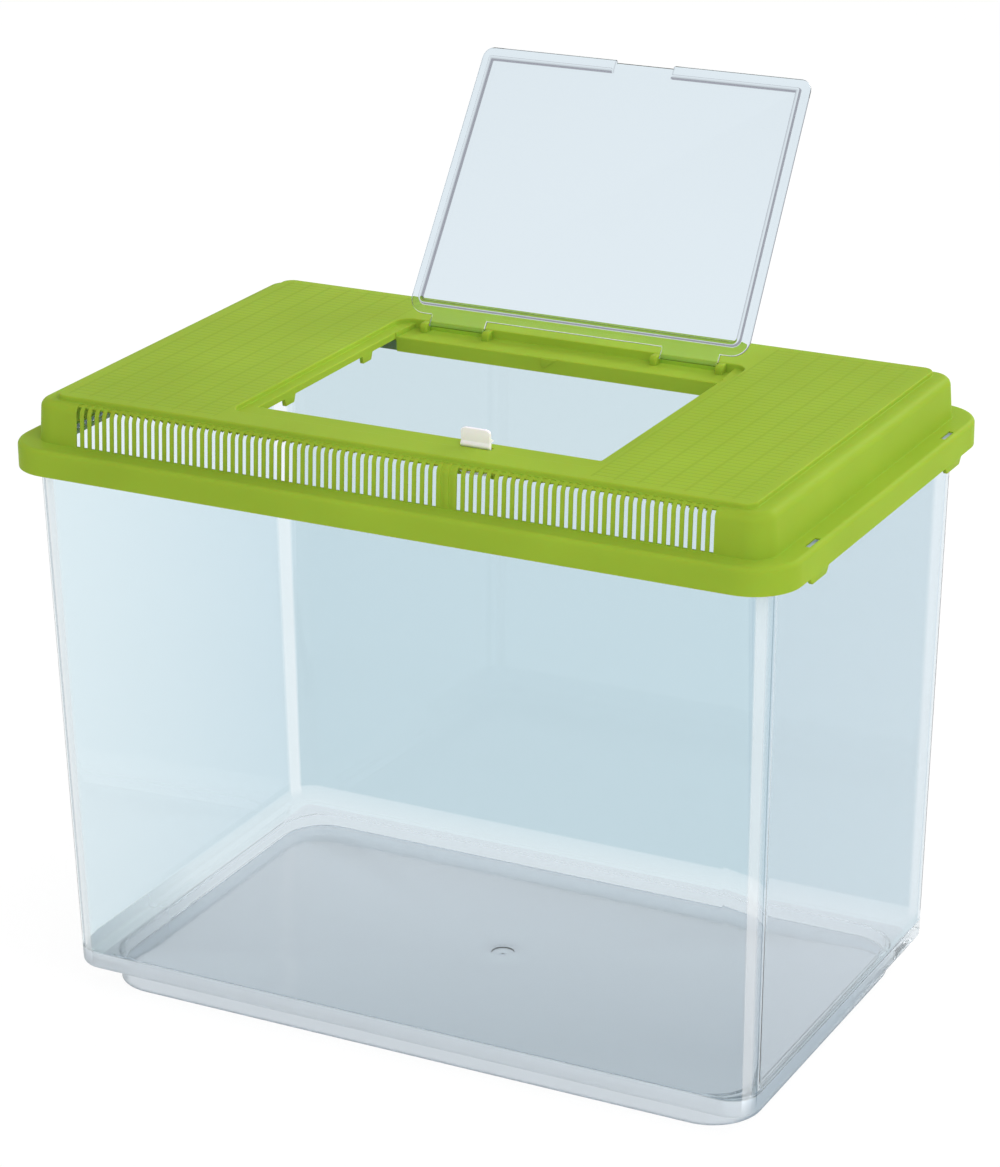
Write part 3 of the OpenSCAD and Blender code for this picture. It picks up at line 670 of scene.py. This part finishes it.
def tankProfile(g, m):
    # one closed run of loops: underside, foot ring, base, wall, flange, wall inside, fillet, floor;
    # a wall's loop at height z lies on the straight line from base to top
    base, top = np.array(g["base"]), np.array(g["top"])

    def wall(z, inset):
        hx, hy, r, _ = base + (top - base) * (z - base[3]) / (top[3] - base[3])
        return [hx - inset, hy - inset, max(r - inset, 1.0), z]

    def loop(size, inset, z):
        return [size[0] - inset, size[1] - inset, max(size[2] - inset, 0.5), z]

    foot, ring, e, o = g["foot"], g["footWall"], g["footEdge"], g["round"]
    quarter = quarterTurn(0, 30, 60, 90)
    rows = [loop(foot, ring + 60, g["underZ"]), loop(foot, ring + o, g["underZ"])]
    rows += [loop(foot, ring + o * s, g["underZ"] - o * c) for s, c in quarter[1:]]
    rows += [loop(foot, ring - e * c, e * s) for s, c in quarter]
    rows += [loop(foot, e * s, e * c) for s, c in quarter]
    rows += [loop(foot, -o * c, g["baseZ"] - o * s) for s, c in quarter]
    e = g["baseEdge"]
    rows += [loop(base, e * s, g["baseZ"] + e * c) for s, c in quarterTurn(0, 18, 36, 54, 72, 90)]
    under, e = g["flangeZ"], g["flangeEdge"]
    rows += [wall(z, 0) for z in (*m["hazeTo"], *g["stops"], under - o)]
    rows += [loop(wall(under, 0), -o * c, under - o * s) for s, c in quarter[1:]]
    rows += [loop(g["flange"], e * s, under + e * c) for s, c in quarter]
    rows += [loop(g["flange"], e * c, top[3] - e * s) for s, c in quarter]
    rim = ((0, 0), (0.15, 0.35), (0.5, 0.5))
    rows += [wall(top[3] - drop, g["wall"] - 0.5 + inset) for drop, inset in rim]
    rows += [wall(z, g["wall"]) for z in g["stops"][::-1]]
    # the fillet starts on the wall's own line, so its first loop has the wall's size there
    r = g["fillet"]
    low = g["ledgeZ"] + r
    start = wall(low, g["wall"])
    rows += [loop(start, r * c, low - r + r * s) for s, c in quarterTurn(*np.linspace(0, 90, 10))]
    well = np.array(foot) - ring
    e, f = g["wellTop"], g["wellFoot"]
    rows += [loop(well, -e * s, g["ledgeZ"] - e * c) for s, c in quarter]
    rows += [loop(well, f * c, g["floorZ"] + f * s) for s, c in quarterTurn(0, 20, 45, 70, 90)]
    return np.array(rows)


def tankShell(g, m):
    # the wall's loops, then a round gate mark in the middle of the floor and a plain cap below
    edges = np.array([1.5, *np.ravel([*m["highlightBands"].values(), *m["lines"].values()])])
    angles = np.unique(np.concatenate([np.linspace(0, 90, 13), edges, 90 - edges]))
    angles = angles[np.concatenate([[True], np.diff(angles) > 0.4])]
    flat = [-0.997, -0.9, -0.6, -0.3, 0, 0.3, 0.6, 0.9, 0.997]
    path = ringPath(flat, flat, flat, angles)
    rows = supported(tankProfile(g, m), g["support"])
    points = ringPoints(path, *rows.T)
    # circles for the plain underside, and for the gate mark sunk into the floor
    turn = np.arctan2(points[-1, :, 1], points[-1, :, 0])

    def circles(pairs):
        return np.array([np.stack([r * np.cos(turn), r * np.sin(turn), 0 * turn + z], 1) for r, z in pairs])

    radius, depth = g["gate"]
    up, down = g["floorZ"], g["floorZ"] - depth
    gate = circles([(radius + 12, up), (radius + 0.5, up), (radius + 0.1, up - 0.1),
                    (radius - 0.1, down + 0.1), (radius - 0.5, down), (1.2, down), (0.9, down + 0.15),
                    (0.3, down + 0.2)])
    everything = np.concatenate([circles([(0.4, g["underZ"]), (20, g["underZ"])]), points, gate])
    z = everything[:, :, 2]
    row = np.arange(len(z))
    # the floor's material is on the underside inside the foot ring, and inside from the ledge down;
    # the edge's material is on the thick base and on the flange
    highest = z.max(1).argmax()
    ringTop = np.flatnonzero(z.max(1) < g["underZ"] - g["round"] - 1e-6)[0]
    floorRow = (z.max(1) <= g["ledgeZ"] + 1e-6) & (row > highest) | (row < ringTop)
    thickRow = (z.max(1) < g["ledgeZ"] + g["fillet"] + 0.1) | (z.min(1) > g["flangeZ"] - g["round"] - 0.1)
    kindOf = np.where(floorRow[1:] & floorRow[:-1], 1, np.where(thickRow[1:] & thickRow[:-1], 2, 0))
    flatPoints, faces = stacked(everything)
    piece = newPiece("tank_shell", flatPoints, faces, [clear, clearFloor, clearEdge],
                     [np.repeat(kindOf, path.shape[1]), [1], [1]])
    # a ramp in and out over the four angles of a painted highlight band or a painted dark line; the fillet
    # and the base are marked by height
    angle = np.degrees(np.arctan2(np.abs(path[2]), np.abs(path[3])))
    quarter = {key: (np.sign(path[2]) == key[0]) & (np.sign(path[3]) == key[1]) & (angle > 1e-3)
               & (angle < 89.999) for key in m["highlightBands"]}
    band, line = (sum(quarter[key] * np.interp(angle, ramp, [0, 1, 1, 0]) for key, ramp in m[part].items())
                  for part in ("highlightBands", "lines"))
    row = row[:, None]
    onFlange = np.flatnonzero(z.max(1) > g["flangeZ"])
    outside = row < onFlange[0]
    # painted light inside: the fillet and the well below it are tinted pale, fading out up the fillet
    above = np.clip((z - g["ledgeZ"]) / g["fillet"], 0, 1)
    inside = (row > onFlange[-1]) * (1 - above)
    # the flange's outer faces and the rim's top are frosted, so that no long path inside the wall shows there
    rim = (z > g["flangeZ"] + 0.05) & ((row <= highest) | (z > g["top"][3] - 0.2))
    ringInside = row < np.flatnonzero(z.max(1) < 0.1)[0]
    # painted light: base and foot are hazed milky and pale where leaned is 1, and clearer towards the back
    # left, where it is 0, which gets a painted pale tint instead
    share = [everything[:, :, i] / g["base"][i] * m["lean"][i] for i in (0, 1)]
    leaned = np.clip(0.5 + share[0] + share[1], 0, 1)
    base = outside * np.clip((m["hazeTo"][1] - z) / (m["hazeTo"][1] - m["hazeTo"][0]), 0, 1)
    low = base * leaned * ~ringInside
    # painted grey shade on the base's right side
    toSide = np.clip((path[2] - m["sideFrom"]) / (1 - m["sideFrom"]), 0, 1)
    milk = m["milk"]
    # painted highlights: milky bands up the front corners, pale bands up all corners; painted light inside
    # and on the base; painted shade: grey on the base's right side and dark corner lines
    marked(piece, z.shape,
           milk=milk["band"] * band * (path[3] < 0) * outside * above + milk["low"] * low + milk["rim"] * rim,
           pale=np.maximum(np.maximum(band * above, m["insidePale"] * inside),
                           base * np.maximum(1 - leaned, ringInside)),
           low=low, side=low * toSide, line=line * outside * above)
    return settled(piece, g["sharp"])


tankPiece = tankShell(tank, tankMarks)
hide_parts("tank")
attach(tankPiece, "tank")
print("tank made:", len(tankPiece.data.polygons), "faces")

# ---- trapdoor ----
door = {"rootWidth": 95.3, "tipWidth": 92.7, "rootY": -7.0, "tipY": -155.3, "rootR": 9.0, "tipR": 6.0,
        "under": -0.2, "top": 1.8, "rib": 2.0, "ribInset": 5.8, "ribTip": 0.6, "ribWidth": 2.2,
        "ribEnd": 17.1, "notch": (16.0, 1.5), "tongueX": 65.2, "tongueWidth": 31.5, "tongueReach": 6.3,
        "edge": 0.6, "rootColumns": (-85.9, -30, 0, 30, 85.9), "tipColumns": (-86.3, -50, 0, 50, 86.3),
        "step": 0.04, "barrel": 1.5, "pin": 0.9, "pinLength": 3.7, "hinge": (3.4, 71.6, 318.6), "open": 124.9,
        "rootRamp": 1.5, "notchShade": 0.6, "endRows": (2, 12), "sharp": 22, "barrelSharp": 35}


def hung(points, g):
    # turned about the hinge axis by the opening angle: y' = y cos t + z sin t, z' = z cos t - y sin t
    t = np.radians(g["open"])
    x, y, z = points.reshape(-1, 3).T
    turned = np.stack([x, y * np.cos(t) + z * np.sin(t), z * np.cos(t) - y * np.sin(t)], 1)
    return turned + np.array(g["hinge"])


def doorPlate(g):
    # loops round the tapering plan, moved in by an inset: the plate's edge, and the rib on its underside
    root, tip = g["rootWidth"] - g["rootR"], g["tipWidth"] - g["tipR"]
    half, step = g["tongueWidth"] / 2, g["step"]
    tongue = np.array([[m * g["tongueX"] + s * half for s in (-1, 1)] for m in (-1, 1)])
    rootX = np.sort(np.concatenate([tongue.ravel(), (tongue + [[-step, step]]).ravel(), g["rootColumns"]]))
    notch, ribEnd = g["notch"][0], g["ribEnd"]
    atNotch = np.array([notch, notch + 0.5, ribEnd, ribEnd - step])
    tipX = np.sort(np.concatenate([g["tipColumns"], atNotch, -atNotch]))
    path = ringPath(tipX / tip, [-0.995, -0.5, 0, 0.5, 0.995], rootX / root, np.linspace(0, 90, 10))
    a, b, c, s = path[:4]
    straight = np.abs(c) < 1e-9
    x0 = np.where(b > 0, a * root, a * tip)
    onTongue = straight & (b > 0) & (np.abs(np.abs(x0) - g["tongueX"]) < half + step / 2)
    tongueEnd = np.where(onTongue, np.sign(np.abs(x0) - g["tongueX"]) * np.sign(x0), 0)
    onNotch = straight & (b < 0) & (np.abs(x0) < notch + 0.01)
    noRib = straight & (b < 0) & (np.abs(x0) < ribEnd - step / 2)
    outer, inner = g["ribInset"] - g["ribWidth"] / 2, g["ribInset"] + g["ribWidth"] / 2
    z0, z1, zr, e = g["under"], g["top"], g["under"] - g["rib"], g["edge"]
    # inset, height, share of the plan's tongues and notch, painted dark shade on the rib's flanks and the
    # plate's edge
    rows = np.array([[inner + 0.35, z0, 0, 0], [inner + 0.06, z0 - 0.12, 0, 1], [inner, zr + 0.6, 0, 1],
                     [inner - 0.2, zr + 0.15, 0, 1], [inner - 0.6, zr, 0, 0.5],
                     [outer + 0.6, zr, 0, 0], [outer + 0.2, zr + 0.15, 0, 1], [outer, zr + 0.6, 0, 1],
                     [outer - 0.06, z0 - 0.12, 0, 1], [outer - 0.35, z0, 0, 0],
                     [e + 0.2, z0, 1, 0], [e * 0.3, z0 + e * 0.3, 1, 0], [0, z0 + e, 1, 0.6],
                     [0, z1 - e, 1, 0.6], [e * 0.3, z1 - e * 0.3, 1, 0], [e + 0.2, z1, 1, 0],
                     [outer, z1, 0, 0], [outer + 0.5, z1, 0, 0]])
    inset, height, plan, share = (v[:, None] for v in rows.T)
    q = (b[None, :] + 1) / 2
    extra = np.where(plan > 0, 0, g["ribTip"])
    rootR, tipR = g["rootR"] - inset, np.maximum(g["tipR"] - inset, 0.55)
    r = tipR + (rootR - tipR) * q
    wide = g["tipWidth"] - inset + (g["rootWidth"] - g["tipWidth"]) * q
    yTip, yRoot = g["tipY"] + inset + extra + tipR, g["rootY"] - inset - rootR
    x = a * (wide - r) + r * c - plan * inset * tongueEnd
    y = yTip + (yRoot - yTip) * q + r * s + plan * (onTongue * g["tongueReach"] + onNotch * g["notch"][1])
    z = np.where(noRib[None, :] & (height < z0), z0, height) * np.ones_like(x)
    points, faces = stacked(np.stack([x, y, z], -1))
    piece = newPiece("trapdoor_plate", hung(points, g), faces, [clearDoor])
    # painted dark shade on the rib's ends beside the notch; past the rib's outer flank the hinged edge takes
    # the root's tint
    row = np.arange(len(rows))[:, None]
    end = straight & (b < 0) & (np.abs(np.abs(x0) - notch - 0.5) < 0.01)
    endShade = g["notchShade"] * end * ((row >= g["endRows"][0]) & (row <= g["endRows"][1]))
    paintedShade = np.maximum(share * np.where((plan == 0) & noRib, 0, 1), endShade)
    free = (inset <= outer + 0.01) * (np.clip(g["rootRamp"] * s, 0, 1) * (b > 0))[None, :]
    marked(piece, x.shape, rib=paintedShade, root=free)
    return piece


def doorBarrels(g):
    # a barrel with rounded ends along each tongue and a pin out of each end
    half, r, p = g["tongueWidth"] / 2, g["barrel"], g["pin"]
    ends = np.array([[half + g["pinLength"], p * 0.6], [half + g["pinLength"] - 0.3, p], [half, p],
                     [half, r - 0.25], [half - 0.25, r]])
    profile = np.concatenate([ends * [-1, 1], ends[::-1]])
    points, faces = joined([turnedAboutX(profile + [m * g["tongueX"], 0], 0.0, 0.0, 20) for m in (-1, 1)])
    piece = newPiece("trapdoor_barrels", hung(points, g), faces, [clearBarrel])
    marked(piece, len(piece.data.vertices), root=1.0)
    return piece


doorPiece = settled(doorPlate(door), door["sharp"])
barrelPiece = settled(outward(doorBarrels(door)), door["barrelSharp"])
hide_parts("trapdoor")
for piece in (doorPiece, barrelPiece):
    piece.visible_shadow = False  # the lamps shine through it
    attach(piece, "trapdoor")
print("trapdoor made:", len(doorPiece.data.polygons), "faces")

# ---- catch ----
catch = {"place": (33.7, -87.45, 306.0), "half": 7.75, "thick": 1.6, "foot": 1.4, "top": 21.4, "corner": 2.0,
         "nose": (15.1, 1.8, 2.5), "lip": (12.4, 2.4, 0.8), "pin": 1.0, "pinReach": 2.0, "edge": 0.45,
         "sharp": 50}


def catchPlate(g):
    # rounded slices stacked in z: nose and lip move a slice's back and front,
    # and the corners narrow the last slices
    t, half, c = g["thick"] / 2, g["half"], g["corner"]
    (nose, nz, nr), (lip, lz, lr) = g["nose"], g["lip"]
    # height, half width, front reach, back reach
    low = [[-g["foot"], half - 0.3, t - 0.3, t - 0.3], [-g["foot"] + 0.3, half, t, t], [lip, half, t, t],
           [lip + 0.15, half, t + lr * 0.8, t], [lip + 0.5, half, t + lr, t], [lip + lz / 2, half, t + lr, t],
           [lip + lz, half, t, t], [nose, half - 0.1, t, t], [nose + 0.1, half - 0.1, t, t + nr - 0.2],
           [nose + 0.4, half - 0.1, t, t + nr], [nose + nz, half, t, t + 0.25], [nose + nz + 0.6, half, t, t]]
    high = [[g["top"] - 0.25 - (c - 0.25) * left, half - c * gained, t, t]
            for left, gained in quarterTurn(0, 15, 30, 45, 60, 75, 90)]
    high += [[g["top"] - 0.07, half - c - 0.1, t - 0.12, t - 0.12],
             [g["top"], half - c - 0.4, t - 0.4, t - 0.4]]
    z, hx, ahead, behind = np.array(low + high).T
    path = ringPath([-0.97, -0.5, 0, 0.5, 0.97], [0.0], [-0.97, -0.5, 0, 0.5, 0.97], np.linspace(0, 90, 6))
    r = np.minimum(g["edge"], (ahead + behind) / 2 - 0.05)
    x, y, h = g["place"]
    plate = stacked(ringPoints(path, hx, (ahead + behind) / 2, r, z + h, np.full_like(z, x),
                               y + (behind - ahead) / 2))
    reach = half + g["pinReach"]
    ends = [[x - reach, 0.6], [x - reach + 0.3, g["pin"]], [x + reach - 0.3, g["pin"]], [x + reach, 0.6]]
    return newPiece("catch_plate", *joined([plate, turnedAboutX(ends, y, h, 20)]), [milky])


catchPiece = settled(outward(catchPlate(catch)), catch["sharp"])
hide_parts("catch")
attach(catchPiece, "catch")
print("catch made")

# ---- floor, world and lamps ----
studio = {"floor": 30000.0, "floorZ": -0.05, "floorColour": "#e8e8e8", "shadowShare": 0.10,
          "skyFront": 0.73, "skyRight": 0.09, "skyUp": -0.06}


def seenDirectly(tree):
    # 1 for camera, mirror and glass rays, 0 for the rays that light the object
    path = node(tree, "LightPath")
    both = node(tree, "Math", {
        0: path.outputs["Is Camera Ray"], 1: path.outputs["Is Glossy Ray"]}, operation="MAXIMUM")
    return node(tree, "Math", {0: both, 1: path.outputs["Is Transmission Ray"]}, operation="MAXIMUM")


def studioFloor(g):
    # matt white paper: it glows plain white where it is seen, and lights the object as grey paper would
    made, tree, _ = newMaterial("white_paper_sweep")
    paper = node(tree, "BsdfDiffuse", {"Color": linear(g["floorColour"])})
    share = g["shadowShare"]
    soft = node(tree, "BsdfDiffuse", {"Color": (share, share, share, 1.0)})
    white = node(tree, "Emission", {"Color": (1.0, 1.0, 1.0, 1.0), "Strength": 1.0 - share * 0.7})
    bright = node(tree, "AddShader", {0: soft, 1: white})
    both = node(tree, "MixShader", {0: seenDirectly(tree), 1: paper, 2: bright})
    node(tree, "OutputMaterial", {"Surface": both})
    made.cycles.emission_sampling = "NONE"
    grid = np.linspace(-g["floor"] / 2, g["floor"] / 2, 5)
    x, y = np.meshgrid(grid, grid)
    points = np.stack([x.ravel(), y.ravel(), np.full(25, g["floorZ"])], 1)
    r, c = np.meshgrid(np.arange(4), np.arange(4), indexing="ij")
    first = (r * 5 + c).ravel()
    quads = np.stack([first, first + 1, first + 6, first + 5], 1)
    floor = newPiece("studio_floor", points, [quads], [made])
    return floor


def studioSky(g):
    # seen directly the sky is plain white; as a light it is skyFront + skyRight x + skyUp z,
    # a little stronger from the right and weaker from above
    world = bpy.data.worlds.new("studio")
    bpy.context.scene.world = world
    world.use_nodes = True
    tree = world.node_tree
    tree.nodes.clear()
    place = node(tree, "TexCoord")
    axes = node(tree, "SeparateXYZ", {0: place.outputs["Generated"]})
    right = node(tree, "Math", {0: axes, 1: g["skyRight"], 2: g["skyFront"]}, operation="MULTIPLY_ADD")
    up = node(tree, "Math", {0: axes.outputs[2], 1: g["skyUp"], 2: right}, operation="MULTIPLY_ADD")
    strength = node(tree, "Mix", {"Factor": seenDirectly(tree), "A": up, "B": 1.0}, data_type="FLOAT")
    back = node(tree, "Background", {"Color": (1.0, 1.0, 1.0, 1.0), "Strength": strength})
    node(tree, "OutputWorld", {"Surface": back})


# name: place, point aimed at, width, height, watts
lamps = {"key_softbox": ((900, -700, 1300), (0, 0, 250), 900, 900, 6.5),
         "back_softbox": ((700, 1500, 1000), (100, 0, 300), 1200, 500, 14.0),
         "front_softbox": ((-200, -1700, 350), (0, 0, 250), 1200, 600, 2.2),
         "right_strip": ((1250, -640, 560), (190, -110, 300), 120, 1000, 1.5)}


def addLamp(name, place, aim, width, height, watts):
    # a rectangle that faces its aim, its width level; glass and the camera don't see it
    data = bpy.data.lights.new(name, "AREA")
    data.shape, data.size, data.size_y, data.energy = "RECTANGLE", width * mm, height * mm, watts
    made = bpy.data.objects.new(name, data)
    away = np.array(place, float) - np.array(aim, float)
    away /= np.linalg.norm(away)
    side = np.cross([0, 0, 1], away)
    side /= np.linalg.norm(side)
    turn = np.eye(4)
    turn[:3] = np.stack([side, np.cross(away, side), away, np.array(place) * mm], 1)
    made.matrix_world = Matrix(turn.tolist())
    made.visible_transmission = False
    made.visible_camera = False
    bpy.context.scene.collection.objects.link(made)


studioFloor(studio)
studioSky(studio)
for name, values in lamps.items():
    addLamp(name, *values)
print("studio made")
